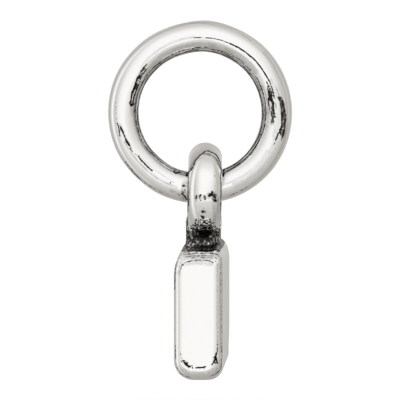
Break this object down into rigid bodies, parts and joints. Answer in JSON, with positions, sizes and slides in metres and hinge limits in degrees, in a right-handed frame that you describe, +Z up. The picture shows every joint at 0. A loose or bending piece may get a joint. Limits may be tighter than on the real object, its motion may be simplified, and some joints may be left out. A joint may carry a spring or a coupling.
{
  "type": "silver charm on a jump ring",
  "caption": "Plain polished silver block charm with a cast loop, hanging free from a soldered round jump ring that fastens it to a bracelet or chain.",
  "frame": {"origin": "inside top of the jump ring, where the link, chain or clasp that carries the charm bears on it", "axes": "+Z up, away from the hanging charm; the ring stands in the XZ plane; +Y runs along the block's width, and +X through its thickness, along the hole of its loop"},
  "size_m": [0.0072, 0.0048, 0.0138],
  "materials": {
    "ring_silver": "polished sterling silver, with fine scratches and a solder seam beside the charm's loop",
    "charm_silver": "polished sterling silver, oxidised black in the hollow between loop and block"
  },
  "bodies": {
    "ring": {"jump_ring": "ring_silver"},
    "charm": {"block_charm": "charm_silver"}
  },
  "joints": [
    {"name": "charm_swing", "type": "hinge", "parent": "ring", "child": "charm", "pos_m": [0.00019, 0, -0.0054], "axis": [1, 0, 0], "range_deg": [-140, 140]}
  ]
}
